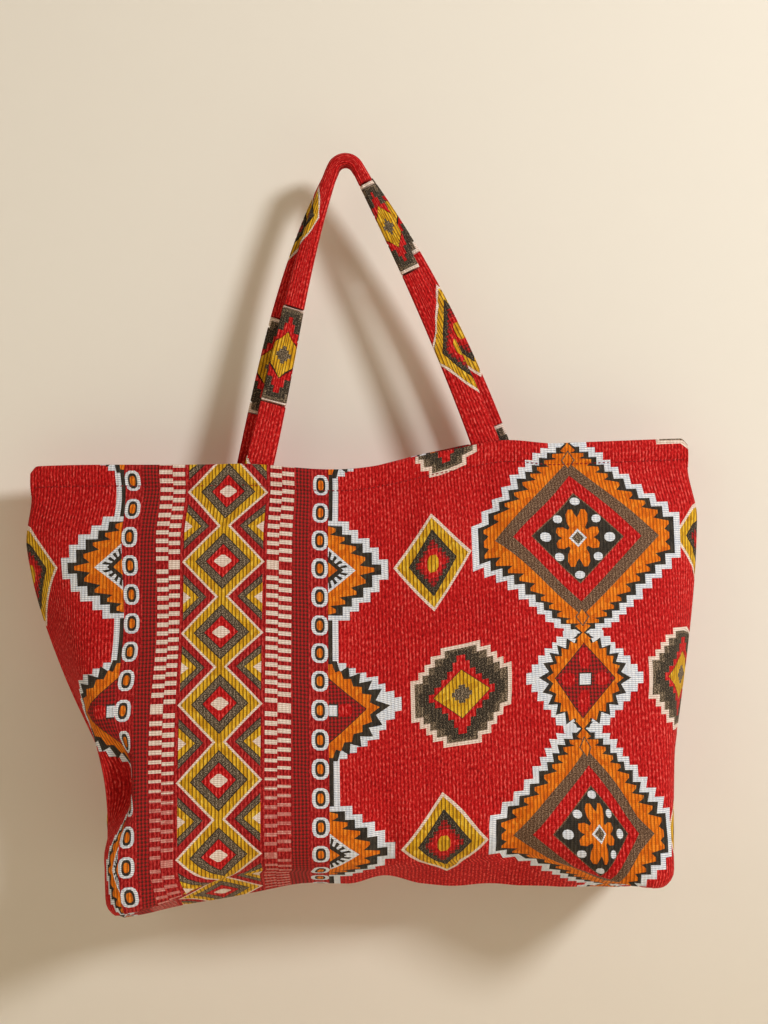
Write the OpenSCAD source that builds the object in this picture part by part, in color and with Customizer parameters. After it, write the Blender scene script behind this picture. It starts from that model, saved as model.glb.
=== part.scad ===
// Large woven tote bag with a boxed base, shown as it hangs by its two cloth handles.
// X runs to the right, Y to the back and Z up, from the crest of the handles where they hang.

/* [Body] */
// Width of the mouth, laid flat
mouth_w = 620; // [560:1:680]
// Height of the cloth from the top fold to the bottom edge
body_h = 415; // [380:1:450]
// Depth of the boxed base
base_d = 144; // [124:1:164]
// How far the mouth stands open in the middle
mouth_gap = 44; // [40:1:56]
// Rounding of the upright corners near the base
corner_r = 20; // [19:1:24]
// Thickness of the woven cloth
cloth_t = 2.2; // [1.6:0.1:2.6]
// Height of the turned hem
hem_h = 21; // [17:1:26]
// How far the hem draws in each end of the mouth
hem_pull = 8; // [0:1:12]

/* [Drape] */
// Height of the handle crest above the top fold
mouth_drop = 262; // [240:1:290]
// How far the middle of the mouth hangs to the right of the crest
mouth_x = 12; // [0:1:24]
// Tilt of the mouth with its right side up, in degrees
hang_tilt = 2.4; // [0:0.1:4]
// Lean of the upright threads, in degrees
thread_lean = 1.3; // [0:0.1:3]
// How far the middle of the base stands forward of the mouth
base_forward = 36; // [24:1:46]
// How far the base sits to the right of the middle of the mouth
base_shift = 20; // [0:1:24]
// Sag of the top fold between the handles
edge_sag = 12; // [0:1:18]
// Rounding under the middle of the bag
belly_r = 44; // [30:1:50]
// Rounding under the corners
foot_r = 17; // [12:1:18]
// Droop of the bottom corners
corner_droop = 12; // [0:1:16]
// Turn of the cloth under the bottom edge, in degrees
base_turn = 60; // [50:1:75]
// How far the middle seam of the base sags below the bottom edge
base_sag = 24; // [12:1:30]
// Depth of the deepest fold in the cloth
fold_depth = 14; // [0:1:18]
// How far the left front corner is pinched in
pinch_depth = 23; // [0:1:26]
// How far the left side is drawn in beside the pinch
waist_depth = 6; // [0:1:10]

/* [Handles] */
// Width of a handle where it is sewn in
strap_w = 26; // [20:1:32]
// Thickness of the folded handle
strap_t = 6; // [4:0.5:7]
// Distance between the two ends of the front handle
strap_spread = 211; // [180:1:240]
// How much wider the back handle stands
back_spread = 20; // [8:1:28]
// How far the middle of the handle ends lies to the right of the crest
handle_x = 25; // [10:1:36]
// Width of a handle where it is gathered over its support
crest_w = 12; // [9:1:15]
// Thickness of the gathered handle
crest_t = 11; // [8:0.5:13]
// Radius of the handle's middle line over its support
crest_r = 12; // [11:1:18]

/* [Seams] */
// Clearance between pieces that are sewn together
seam_gap = 0.3; // [0.2:0.1:0.6]
// Softening of the top fold
fold_round = 0.8; // [0.4:0.1:0.8]

/* [Hidden] */

// Shares that shape the cloth
belly_power_share = 0.9;
corner_share = 0.8;
box_shares = [0.7, 1];
belly_flat_share = 0.5;
lens_power = 4;
slant_share = 0.66;
settle_share = 0.45;
pull_share = 0.12;
under_share = 0.15;
rise_share = 1.85;
sag_power = 4;
sag_skew_share = 0.5;
droop_skew_share = 0.3;
lens_pull_shares = [1, 0.4];
handle_bow_share = 0.34;
gather_power = 0.8;
strap_square = 0.5;
crest_square = 0.85;
leg_steps = 11;
crest_steps = 8;

// Waves of the top fold at the front and at the back: place, reach and depth
front_wave_shares = [
    [-0.01, 0.38, 1],
    [-0.34, 0.66, 0.5],
    [0.44, 0.16, -0.4],
    [-1.02, 0.06, 0.6],
    [1.02, 0.06, 0.6]
];
back_wave_shares = [
    [-0.05, 0.36, 1.05],
    [-0.34, 0.66, 0.5],
    [0.42, 0.2, -0.5],
    [-1.02, 0.06, 0.6],
    [1.02, 0.06, 0.6]
];

// Waves of the middle seam of the base: place, reach and depth
seam_wave_shares = [
    [-0.58, 0.3, 0.45],
    [-0.02, 0.14, -0.3],
    [0.25, 0.2, 0.2],
    [0.5, 0.2, 0.25],
    [0.82, 0.2, -0.4]
];

// Folds of a panel: place across, place down, reach across, reach down, slant and depth
front_fold_shares = [
    [0.52, 0.88, 0.07, 0.15, 1.44, 0.75],
    [0.37, 0.2, 0.07, 0.2, 0.05, 0.3],
    [0.2, 0.2, 0.08, 0.17, -0.05, -0.25],
    [0.06, 0.84, 0.06, 0.14, 0.1, 0.5],
    [-0.35, 0.86, 0.2, 0.1, 1.2, 0.3]
];
back_fold_shares = [
    [-0.3, 0.6, 0.12, 0.3, 0.2, 0.3],
    [0.35, 0.55, 0.12, 0.3, -0.25, 0.3],
    [-0.9, 0.78, 0.1, 0.13, 0, -0.85]
];

// Pinch of the left front corner: place across, place down, reach across and reach down
pinch_shares = [-0.735, 0.685, 0.1, 0.155];

// Waist of the left side: place across where it starts and is full, place down and reach down
waist_shares = [-0.7, -0.82, 0.68, 0.25];

// Handle lean from upright, in degrees, at the crest and at the hem, of the left and the right leg
front_leans = [[20, 14], [28, 21]];
back_leans = [[26, 11], [35, 20]];

// Values worked out from the sizes above
half_w = mouth_w/2;
wall_h = body_h - hem_h;
end_t = cloth_t + seam_gap/2;
spread_y = base_forward + base_d/2 - mouth_gap/2;
slant_loss = slant_share*spread_y*spread_y/body_h;
probe = cloth_t/4;
probe_share = 0.004;
crest_y = crest_t/2 + seam_gap;
tab_l = hem_h - cloth_t;

// Places of the threads that the panels are drawn through, over the flat front and round the sides
flat_shares = [0.1, 0.2, 0.3, 0.4, 0.5, 0.6, 0.7, 0.8, 0.88, 0.95, 1];
side_shares = [0.1, 0.2, 0.31, 0.43, 0.56, 0.7, 0.85, 1];
back_flat_shares = [0.2, 0.4, 0.6, 0.8, 1];
back_side_shares = [0.13, 0.27, 0.42, 0.6, 0.8, 1];

// Rows run over the hem from -1 to 0, down the wall to 1, round the bottom to 2 and under to 3
hem_row_shares = [-1, -0.96, -0.5, 0, 0.008];
front_row_shares = concat(
    hem_row_shares,
    [0.05, 0.11, 0.19, 0.27, 0.35, 0.43, 0.51, 0.59, 0.67, 0.75, 0.83, 0.9, 0.95],
    [1, 1.25, 1.5, 1.75, 2, 2.15, 2.55, 3]
);
back_row_shares = concat(
    hem_row_shares,
    [0.08, 0.2, 0.33, 0.46, 0.6, 0.74, 0.88],
    [1, 1.33, 1.67, 2, 2.15, 3]
);

function mix(a, b, t) = a + (b - a)*t;
function ease(t) = let(c = max(0, min(1, t))) c*c*(3 - 2*c);
function hump(t) = abs(t) < 1 ? pow(cos(90*t), 2) : 0;
function total(list) = [for (a = list) 1]*list;
function mirrored(list) = concat([for (i = [len(list) - 1:-1:0]) -list[i]], [0], list);

// Share of the full depth that the bag has opened to, and the sizes of the section there
function fullness(q) = sin(90*pow(max(0, min(1, q)), belly_power_share));
function half_depth(q) = mix(mouth_gap/2, base_d/2, fullness(q));
function seam_y(q) = -base_forward*fullness(q);
function corner(q) = min(corner_r, corner_share*half_depth(q));
function centre_u(q) = base_shift*fullness(q);
function flat_half(q) = half_w - half_depth(q) + corner(q)*(1 - PI/2);

// Boxed section: across, inward and turn, at distance a from the middle of a half of length h
function boxed(a, h, q) =
    let (
        r = corner(q),
        flat = flat_half(q),
        bend = r*PI/2,
        deep = half_depth(q) - seam_gap/2
    )
    a <= flat ? [a, 0, 0] :
    a <= flat + bend ? let (t = 90*(a - flat)/bend) [flat + r*sin(t), r*(1 - cos(t)), t] :
    [flat + r, mix(r, deep, (a - flat - bend)/(h - flat - bend)), 90];

// Flat mouth section, closing towards the side seams and drawn in as it bulges
function lens(a, h, q, pull) =
    let (deep = half_depth(q) - end_t, bulge = pow(lens_power*deep, 2)/h/(4*lens_power - 2))
    [a - pull*bulge*pow(a/h, 2*lens_power - 1), deep*pow(a/h, lens_power), 0];

function section(u, q) =
    let (
        c = centre_u(q),
        a = abs(u - c),
        h = u < c ? half_w + c : half_w - c,
        k = ease(q/box_shares[u < c ? 0 : 1]),
        s = mix(lens(a, h, q, lens_pull_shares[u < c ? 0 : 1]), boxed(a, h, q), k)
    )
    [c + (u < c ? -s[0] : s[0]), s[1], u < c ? -s[2] : s[2]];

// Height of the top fold, and how the rows below it settle
function edge_wave(side, u) = total([
    for (w = side < 0 ? front_wave_shares : back_wave_shares)
    w[2]*hump((u/half_w - w[0])/w[1])
]);
function top_z(side, u, q) =
    tan(hang_tilt)*(mouth_x + u) - mouth_drop
    - edge_sag*edge_wave(side, u)*(1 - ease((q - settle_share)/(1 - settle_share)));

function bottom_r(u) =
    let (s = abs(u - base_shift)/flat_half(1))
    mix(belly_r, foot_r, ease((s - belly_flat_share)/(1 - belly_flat_share)));
function wall_len(u) = body_h - rise_share*bottom_r(u);

function fold_at(side, u, v) =
    fold_depth*total([
        for (f = side < 0 ? front_fold_shares : back_fold_shares)
        let (s = u/half_w, t = v/body_h)
        f[5]*hump((s - f[0] - f[4]*(t - f[1]))/f[2])*hump((t - f[1])/f[3])
    ]);

function pinch_at(side, u, v) =
    let (f = pinch_shares, s = u/half_w, t = v/body_h)
    side > 0 ? 0 : pinch_depth*hump((s - f[0])/f[2])*hump((t - f[1])/f[3]);

function waist_at(u, v) =
    let (f = waist_shares, s = u/half_w, t = v/body_h)
    waist_depth*ease((s - f[0])/(f[1] - f[0]))*hump((t - f[2])/f[3]);

// Point of a panel's outer face: side is -1 for the front, u runs along the top fold, w down the rows
function wall_point(side, u, w) =
    let (
        v = w < 0 ? (w + 1)*hem_h : mix(hem_h, wall_len(u), w),
        q = max(0, v - hem_h)/wall_h,
        s = section(u, q),
        fall = v - slant_loss*fullness(q),
        out = (u - centre_u(q))/half_w,
        droop = corner_droop*pow(abs(out), 3)*(1 - droop_skew_share*sign(out)),
        drawn = s[0]*(1 - hem_pull/half_w*(1 - ease(q/pull_share))),
        dip = fold_at(side, u, v)*ease((half_w - abs(u))/belly_r),
        pinch = pinch_at(side, u, v)
    )
    [
        mouth_x + drawn + tan(thread_lean)*fall - dip*sin(s[2]) + pinch + waist_at(u, v),
        seam_y(q) + side*(half_depth(q) - s[1] - dip*cos(s[2]) - pinch),
        top_z(side, u, q) - fall - droop*fullness(q)
    ];

function bend_point(side, u, w) =
    let (
        r = bottom_r(u),
        turn = section(u, (wall_len(u) - hem_h)/wall_h)[2],
        a = base_turn*(w - 1)
    )
    wall_point(side, u, 1) + r*[-sin(turn)*(1 - cos(a)), -side*cos(turn)*(1 - cos(a)), -sin(a)];

// Middle seam of the base, which hangs lowest, and the cloth from the bottom edge to it
function base_seam(side, u) =
    let (
        ends = [for (end = [-1, 1]) bend_point(side, end*half_w, 2) - [end*seam_gap, 0, 0]],
        feet = [for (end = [-1, 1]) bend_point(-1, end*half_w, 2)[2]],
        share = (u - base_shift)/flat_half(1)/2 + 1/2,
        across = 2*share - 1,
        wave = total([for (w = seam_wave_shares) w[2]*hump((across - w[0])/w[1])]),
        drop = base_sag*(1 + sag_skew_share*across + wave),
        sag = 1 - pow(abs(across), sag_power)
    )
    [
        mix(ends[0][0], ends[1][0], share),
        seam_y(1) + side*seam_gap/2,
        mix(mix(feet[0], feet[1], share), bend_point(-1, u, 2)[2] - drop, sag)
    ];
function under_point(side, u, w) =
    let (
        bend = bend_point(side, u, 2),
        seam = base_seam(side, u),
        spread = min(1, (w - 2)/under_share)
    )
    [mix(bend[0], seam[0], spread), mix(bend[1], seam[1], w - 2), mix(bend[2], seam[2], w - 2)];

function panel_point(side, u, w) =
    w <= 1 ? wall_point(side, u, w) :
    w <= 2 ? bend_point(side, u, w) :
    under_point(side, u, w);

// Unit vector into the bag
function inward(side, u, w) =
    let (
        u0 = max(-half_w, u - probe),
        u1 = min(half_w, u + probe),
        w0 = max(-1, w - probe_share),
        w1 = min(w > 2 ? 3 : 2, w + probe_share),
        n = cross(panel_point(side, u1, w) - panel_point(side, u0, w),
                  panel_point(side, u, w1) - panel_point(side, u, w0))
    )
    -side*n/norm(n);

// Point at a depth inside the outer face, held off the seam between the panels
function inner_point(side, u, w, depth) =
    let (
        p = panel_point(side, u, w) + depth*inward(side, u, w),
        v = w < 0 ? (w + 1)*hem_h : mix(hem_h, wall_len(u), min(w, 1)),
        q = w > 2 ? 1 : max(0, v - hem_h)/wall_h,
        limit = seam_y(q) + side*seam_gap/2
    )
    w > 1 && w <= 2 ? p : [p[0], side < 0 ? min(p[1], limit) : max(p[1], limit), p[2]];

function pair(a, b, c, d, flip) = flip ? [[a, c, b], [a, d, c]] : [[a, b, c], [a, c, d]];

// Closed sheet between two grids of points, with a rim wherever the next cell is not cloth
module sheet(outer, inner, base_row, base_cols, flip) {
    rows = len(outer);
    cols = len(outer[0]);
    n = rows*cols;
    has = function(j, i)
        j >= 0 && i >= 0 && j < rows - 1 && i < cols - 1
        && (j < base_row || (i >= base_cols[0] && i < base_cols[1]));
    cells = [for (j = [0:rows - 2], i = [0:cols - 2]) if (has(j, i)) [j, i]];
    faces = [
        for (c = cells)
        let (
            a = c[0]*cols + c[1],
            b = a + 1,
            d = a + cols,
            e = d + 1
        )
        each concat(
            pair(a, b, e, d, flip),
            pair(n + a, n + d, n + e, n + b, flip),
            has(c[0] - 1, c[1]) ? [] : pair(a, n + a, n + b, b, flip),
            has(c[0] + 1, c[1]) ? [] : pair(d, e, n + e, n + d, flip),
            has(c[0], c[1] - 1) ? [] : pair(a, d, n + d, n + a, flip),
            has(c[0], c[1] + 1) ? [] : pair(b, n + b, n + e, e, flip)
        )
    ];
    polyhedron(points = concat([for (r = outer) each r], [for (r = inner) each r]), faces = faces);
}

// Thickness of the cloth down the rows, double in the hem
function thickness(w) = w == -1 ? 2*cloth_t - fold_round : w <= 0 ? 2*cloth_t : cloth_t;

// Panel with its turned hem, its half of the sides and its half of the base
module panel(side, flats, sides, rows) {
    flat = flat_half(1);
    us = concat(
        [for (i = [len(sides) - 1:-1:0]) mix(base_shift - flat, -half_w, sides[i])],
        [for (s = mirrored(flats)) base_shift + flat*s],
        [for (s = sides) mix(base_shift + flat, half_w, s)]
    );
    under = [len(sides), len(us) - 1 - len(sides)];
    base_row = search(2, rows)[0];
    held = function(i, w) i < under[0] || i > under[1] ? min(w, 2) : w;
    outer = [
        for (w = rows)
        [for (i = [0:len(us) - 1]) inner_point(side, us[i], held(i, w), w == -1 ? fold_round : 0)]
    ];
    inner = [
        for (w = rows)
        [
            for (i = [0:len(us) - 1])
            inner_point(side, us[i], held(i, w), thickness(w))
        ]
    ];
    sheet(outer, inner, base_row, under, side > 0);
}

// Where a handle's middle line stands inside the hem
function seat_u(side, end) =
    handle_x - mouth_x + end*(strap_spread + (side < 0 ? 0 : back_spread))/2;
function seat_y(side, end) =
    let (
        u = seat_u(side, end),
        faces = [
            for (k = [-1:0.5:1], w = [-1, -0.5, 0])
            side*inner_point(side, u + k*strap_w/2, w, 2*cloth_t)[1]
        ]
    )
    side*(min(faces) - seam_gap - strap_t/2);

function bezier(a, b, c, d, t) =
    pow(1 - t, 3)*a + 3*pow(1 - t, 2)*t*b + 3*(1 - t)*t*t*c + t*t*t*d;
function downward(end, lean) = [end*sin(lean), 0, -cos(lean)];
function leans(side, end) = (side < 0 ? front_leans : back_leans)[end < 0 ? 0 : 1];

// One leg of a handle from the crest (t = 0) to the top fold (t = 1), with its heading
function leg_point(side, end, t) =
    let (
        lean = leans(side, end),
        hub = [0, side*crest_y, crest_w/2 - crest_r],
        top = hub + crest_r*[end*cos(lean[0]), 0, sin(lean[0])],
        u = seat_u(side, end),
        foot = [panel_point(side, u, -1)[0], seat_y(side, end), top_z(side, u, 0)],
        bow = handle_bow_share*norm(foot - top)
    )
    bezier(top, top + bow*downward(end, lean[0]), foot - bow*downward(end, lean[1]), foot, t);

function leg_lean(side, end, t) = mix(leans(side, end)[0], leans(side, end)[1], t);

// Turn of a handle's width, which points into the loop
function leg_turn(side, end, t) = end < 0 ? -leg_lean(side, end, t) : 180 + leg_lean(side, end, t);

// Section of a handle: a flat folded strap that gathers towards the crest
function strap_section(p, turn, gather, square) =
    let (
        w = mix(strap_w, crest_w, gather),
        d = mix(strap_t, crest_t, gather*gather)
    )
    [
        for (a = [0:30:330])
        let (x = sign(cos(a))*pow(abs(cos(a)), square), y = sign(sin(a))*pow(abs(sin(a)), square))
        p + [cos(turn)*x*w/2, y*d/2, sin(turn)*x*w/2]
    ];

module handle(side) {
    hub = [0, side*crest_y, crest_w/2 - crest_r];
    leg = function(end) [
        for (i = [1:leg_steps])
        let (t = i/leg_steps)
        strap_section(
            leg_point(side, end, t),
            leg_turn(side, end, t),
            1 - pow(t, gather_power),
            mix(crest_square, strap_square, t)
        )
    ];
    tab = function(end) strap_section(
        leg_point(side, end, 1) + tab_l*downward(end, leg_lean(side, end, 1)),
        leg_turn(side, end, 1), 0, strap_square
    );
    left = leg(-1);
    over = [
        for (i = [0:crest_steps])
        let (a = mix(180 - leans(side, -1)[0], leans(side, 1)[0], i/crest_steps))
        strap_section(hub + crest_r*[cos(a), 0, sin(a)], a + 180, 1, crest_square)
    ];
    rings = concat(
        [tab(-1)],
        [for (i = [len(left) - 1:-1:0]) left[i]],
        over,
        leg(1),
        [tab(1)]
    );
    sides = len(rings[0]);
    last = (len(rings) - 1)*sides;
    faces = concat(
        [[for (i = [sides - 1:-1:0]) i]],
        [[for (i = [0:sides - 1]) last + i]],
        [
            for (j = [0:len(rings) - 2], i = [0:sides - 1])
            let (k = (i + 1)%sides)
            each pair(j*sides + i, j*sides + k, (j + 1)*sides + k, (j + 1)*sides + i, false)
        ]
    );
    polyhedron(points = [for (r = rings) each r], faces = faces);
}

module front_panel() {
    color("firebrick") panel(-1, flat_shares, side_shares, front_row_shares);
}

module back_panel() {
    color("firebrick") panel(1, back_flat_shares, back_side_shares, back_row_shares);
}

module front_handle() {
    color("crimson") handle(-1);
}

module back_handle() {
    color("crimson") handle(1);
}

front_panel();
back_panel();
front_handle();
back_handle();
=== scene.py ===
import math

import bpy
import numpy as np
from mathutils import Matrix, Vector
from mathutils.geometry import delaunay_2d_cdt


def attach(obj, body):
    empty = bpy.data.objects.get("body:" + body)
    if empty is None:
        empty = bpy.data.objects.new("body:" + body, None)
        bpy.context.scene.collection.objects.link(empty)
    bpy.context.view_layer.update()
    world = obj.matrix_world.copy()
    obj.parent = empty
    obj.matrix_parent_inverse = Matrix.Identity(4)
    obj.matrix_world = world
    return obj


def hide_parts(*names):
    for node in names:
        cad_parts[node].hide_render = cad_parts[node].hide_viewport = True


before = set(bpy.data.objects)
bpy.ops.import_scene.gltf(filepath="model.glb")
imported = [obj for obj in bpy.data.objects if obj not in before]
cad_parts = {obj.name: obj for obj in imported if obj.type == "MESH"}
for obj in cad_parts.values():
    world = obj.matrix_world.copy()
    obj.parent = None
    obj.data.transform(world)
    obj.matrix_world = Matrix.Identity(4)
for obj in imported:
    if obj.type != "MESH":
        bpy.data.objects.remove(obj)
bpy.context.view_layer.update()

# Sizes of the bag in millimetres, as in the part's source
MOUTH_W, BODY_H, BASE_D, MOUTH_GAP = 620.0, 415.0, 144.0, 44.0
CORNER_R, CLOTH_T, HEM_H, HEM_PULL = 20.0, 2.2, 21.0, 8.0
MOUTH_DROP, MOUTH_X, HANG_TILT, THREAD_LEAN = 262.0, 12.0, 2.4, 1.3
BASE_FORWARD, BASE_SHIFT, EDGE_SAG = 36.0, 20.0, 12.0
BELLY_R, FOOT_R, CORNER_DROOP, FOLD_DEPTH, PINCH_DEPTH, WAIST_DEPTH = 44.0, 17.0, 12.0, 14.0, 23.0, 6.0
BASE_TURN, BASE_SAG, RISE, SAG_SKEW = 60.0, 24.0, 1.85, 0.5
STRAP_W, STRAP_T, STRAP_SPREAD, BACK_SPREAD, HANDLE_X = 26.0, 6.0, 211.0, 20.0, 25.0
CREST_W, CREST_T, CREST_R, SEAM_GAP = 12.0, 11.0, 12.0, 0.3
# Leans of each handle's legs in degrees, at the crest and at the hem, by side and end
LEANS = {-1: {-1: (20.0, 14.0), 1: (28.0, 21.0)}, 1: {-1: (26.0, 11.0), 1: (35.0, 20.0)}}
# Waves of the top edge: place and reach in half widths, and depth as a share of the sag
EDGE_ENDS = [(-1.005, 0.025, 0.5), (1.005, 0.025, 0.5)]
WAVES = {
    -1: [(-0.01, 0.38, 1), (-0.34, 0.66, 0.5), (0.44, 0.16, -0.4)] + EDGE_ENDS,
    1: [(-0.05, 0.36, 1.05), (-0.34, 0.66, 0.5), (0.42, 0.2, -0.5)] + EDGE_ENDS,
}
# Folds: place across and down, reach across and down, slant and depth, as shares
FOLDS = {
    -1: [
        (0.52, 0.88, 0.07, 0.15, 1.44, 0.75),
        (0.37, 0.2, 0.07, 0.2, 0.05, 0.3),
        (0.2, 0.2, 0.08, 0.17, -0.05, -0.25),
        (0.06, 0.84, 0.06, 0.14, 0.1, 0.5),
        (-0.35, 0.86, 0.2, 0.1, 1.2, 0.3),
    ],
    1: [
        (-0.3, 0.6, 0.12, 0.3, 0.2, 0.3),
        (0.35, 0.55, 0.12, 0.3, -0.25, 0.3),
        (-0.9, 0.78, 0.1, 0.13, 0, -0.85),
    ],
}
# Pinch at the lower left: place and reach, each across and down
PINCH = (-0.735, 0.685, 0.1, 0.155)
# Waist: where it begins and is full across, then its place and reach down
WAIST = (-0.7, -0.82, 0.68, 0.25)
# Waves of the base seam: place and reach in half lengths, and depth as a share of the sag
SEAM_WAVES = [(-0.58, 0.3, 0.45), (-0.02, 0.14, -0.3), (0.25, 0.2, 0.2), (0.5, 0.2, 0.25), (0.82, 0.2, -0.4)]
# Powers, shares and reaches of the drape's curves
FULL_POWER, LENS_POWER, DROOP_POWER, SEAM_POWER = 0.9, 4, 3, 4
LEFT_BOXED, RIGHT_TAPER, DROOP_SKEW, PULL_REACH = 0.7, 0.4, 0.3, 0.12
SAG_FROM, SAG_FADE, FOOT_FROM, HEEL = 0.45, 0.55, 0.5, 0.15
NORMAL_STEP, TINY = 0.4, 1e-6
HALF_W = MOUTH_W / 2
WALL_H = BODY_H - HEM_H
END_T = CLOTH_T + SEAM_GAP / 2
SLANT_SHARE, CORNER_SHARE = 0.66, 0.8
SLANT_LOSS = SLANT_SHARE * (BASE_FORWARD + BASE_D / 2 - MOUTH_GAP / 2) ** 2 / BODY_H


# Drape of the bag: u runs along the top fold, v down the cloth, side is -1 at the front
def mix(a, b, t):
    return a + (b - a) * t


def ease(t):
    """Smooth step from 0 to 1."""
    c = np.clip(t, 0, 1)
    return c * c * (3 - 2 * c)


def hump(t):
    """Smooth hump, 1 in the middle and 0 past 1 on either side."""
    return np.cos(np.pi / 2 * np.clip(t, -1, 1)) ** 2


def sin(d):
    return np.sin(np.radians(d))


def cos(d):
    return np.cos(np.radians(d))


def fullness(q):
    """How far the bag has opened at the share q of its height."""
    return sin(90 * np.clip(q, 0, 1) ** FULL_POWER)


def half_depth(q):
    """Half of the bag's depth."""
    return mix(MOUTH_GAP / 2, BASE_D / 2, fullness(q))


def seam_y(q):
    """Where the side seams run."""
    return -BASE_FORWARD * fullness(q)


def corner_r(q):
    """Radius of the upright corners."""
    return np.minimum(CORNER_R, CORNER_SHARE * half_depth(q))


def flat_half(q):
    """Half of the flat front, up to the upright corners."""
    return HALF_W - half_depth(q) + corner_r(q) * (1 - np.pi / 2)


FLAT = float(flat_half(1.0))
U_LEFT, U_RIGHT = BASE_SHIFT - FLAT, BASE_SHIFT + FLAT


def section(u, q):
    """Across the bag at height q: place along and depth from the panel's face, and the turn of the cloth."""
    c = BASE_SHIFT * fullness(q)
    a, left = np.abs(u - c), u < c
    h = np.where(left, HALF_W + c, HALF_W - c)
    k = ease(q / np.where(left, LEFT_BOXED, 1))
    r, flat = corner_r(q), flat_half(q)
    bend, deep = r * np.pi / 2, half_depth(q) - SEAM_GAP / 2
    t = np.clip(90 * (a - flat) / bend, 0, 90)
    far = mix(r, deep, (a - flat - bend) / np.maximum(h - flat - bend, TINY))
    gap = half_depth(q) - END_T
    m = 2 * LENS_POWER - 1
    lens = a - np.where(left, 1, RIGHT_TAPER) * (LENS_POWER * gap) ** 2 / h / (2 * m) * (a / h) ** m
    x = mix(lens, np.where(a <= flat, a, flat + r * sin(t)), k)
    y = mix(gap * (a / h) ** LENS_POWER, np.where(a <= flat + bend, r * (1 - cos(t)), far), k)
    s = np.where(left, -1, 1)
    return c + s * x, y, s * t * k


def top_z(side, u, q):
    """Height of the top edge, with its tilt and waves, which fade down the bag."""
    wave = sum(d * hump((u / HALF_W - p) / r) for p, r, d in WAVES[side])
    tilt = math.tan(math.radians(HANG_TILT)) * (MOUTH_X + u)
    return tilt - MOUTH_DROP - EDGE_SAG * wave * (1 - ease((q - SAG_FROM) / SAG_FADE))


def bottom_r(u):
    """Radius of the bend under the wall."""
    return mix(BELLY_R, FOOT_R, ease((np.abs(u - BASE_SHIFT) / FLAT - FOOT_FROM) / (1 - FOOT_FROM)))


def wall_len(u):
    """Cloth from the top fold to the bend."""
    return BODY_H - RISE * bottom_r(u)


def fold_at(side, u, v):
    """Depth of the soft folds."""
    s, t = u / HALF_W, v / BODY_H
    return FOLD_DEPTH * sum(
        d * hump((s - a - k * (t - b)) / ra) * hump((t - b) / rb) for a, b, ra, rb, k, d in FOLDS[side]
    )


def pinch_at(side, u, v):
    a, b, ra, rb = PINCH
    return PINCH_DEPTH * (side < 0) * hump((u / HALF_W - a) / ra) * hump((v / BODY_H - b) / rb)


def waist_at(u, v):
    a, b, c, r = WAIST
    return WAIST_DEPTH * ease((u / HALF_W - a) / (b - a)) * hump((v / BODY_H - c) / r)


def wall_point(side, u, v):
    """Place of the wall's outer face."""
    q = np.maximum(0, v - HEM_H) / WALL_H
    x, y, t = section(u, q)
    x = x * (1 - HEM_PULL / HALF_W * (1 - ease(q / PULL_REACH)))
    full = fullness(q)
    fall = v - SLANT_LOSS * full
    out = (u - BASE_SHIFT * full) / HALF_W
    dip = fold_at(side, u, v) * ease((HALF_W - np.abs(u)) / BELLY_R)
    droop = CORNER_DROOP * np.abs(out) ** DROOP_POWER * (1 - DROOP_SKEW * np.sign(out)) * full
    pinch = pinch_at(side, u, v)
    return np.stack([
        MOUTH_X + x + math.tan(math.radians(THREAD_LEAN)) * fall - dip * sin(t) + pinch + waist_at(u, v),
        seam_y(q) + side * (half_depth(q) - y - dip * cos(t) - pinch),
        top_z(side, u, q) - fall - droop,
    ], -1)


def bend_point(side, u, a):
    """Place of the bend's outer face, turned by a degrees."""
    r, v = bottom_r(u), wall_len(u)
    t = section(u, (v - HEM_H) / WALL_H)[2]
    back = r * (1 - cos(a))
    return wall_point(side, u, v) + np.stack([-sin(t) * back, -side * cos(t) * back, -r * sin(a)], -1)


FEET = {s: [bend_point(s, np.array(e * HALF_W), BASE_TURN) for e in (-1, 1)] for s in (-1, 1)}


def base_seam(side, u):
    """Place of the seam along the middle of the base."""
    share = (u - BASE_SHIFT) / FLAT / 2 + 0.5
    across = 2 * share - 1
    wave = sum(d * hump((across - p) / r) for p, r, d in SEAM_WAVES)
    low = bend_point(-1, u, BASE_TURN)[..., 2] - BASE_SAG * (1 + SAG_SKEW * across + wave)
    return np.stack([
        mix(FEET[side][0][0] + SEAM_GAP, FEET[side][1][0] - SEAM_GAP, share),
        np.full_like(u, seam_y(1.0) + side * SEAM_GAP / 2),
        mix(mix(FEET[-1][0][2], FEET[-1][1][2], share), low, 1 - np.abs(across) ** SEAM_POWER),
    ], -1)


def lengths(side, u):
    """Cloth down to the end of the wall, of the bend and of the base."""
    wall = wall_len(u)
    bend = wall + bottom_r(u) * math.radians(BASE_TURN)
    base = np.linalg.norm(base_seam(side, u) - bend_point(side, u, BASE_TURN), axis=-1)
    return wall, bend, bend + np.where((u >= U_LEFT - TINY) & (u <= U_RIGHT + TINY), base, 0)


def panel_point(side, u, v):
    """Place of the outer face: wall, bend under, and base to its seam."""
    wall, bend, end = lengths(side, u)
    p = wall_point(side, u, np.minimum(v, wall))
    b = bend_point(side, u, BASE_TURN * np.clip((v - wall) / (bend - wall), 0, 1))
    s = base_seam(side, u)
    k = np.clip((v - bend) / np.maximum(end - bend, TINY), 0, 1)
    x = mix(b[..., 0], s[..., 0], np.minimum(1, k / HEEL))
    under = np.stack([x, mix(b[..., 1], s[..., 1], k), mix(b[..., 2], s[..., 2], k)], -1)
    return np.where((v <= wall)[..., None], p, np.where((v <= bend)[..., None], b, under))


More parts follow.
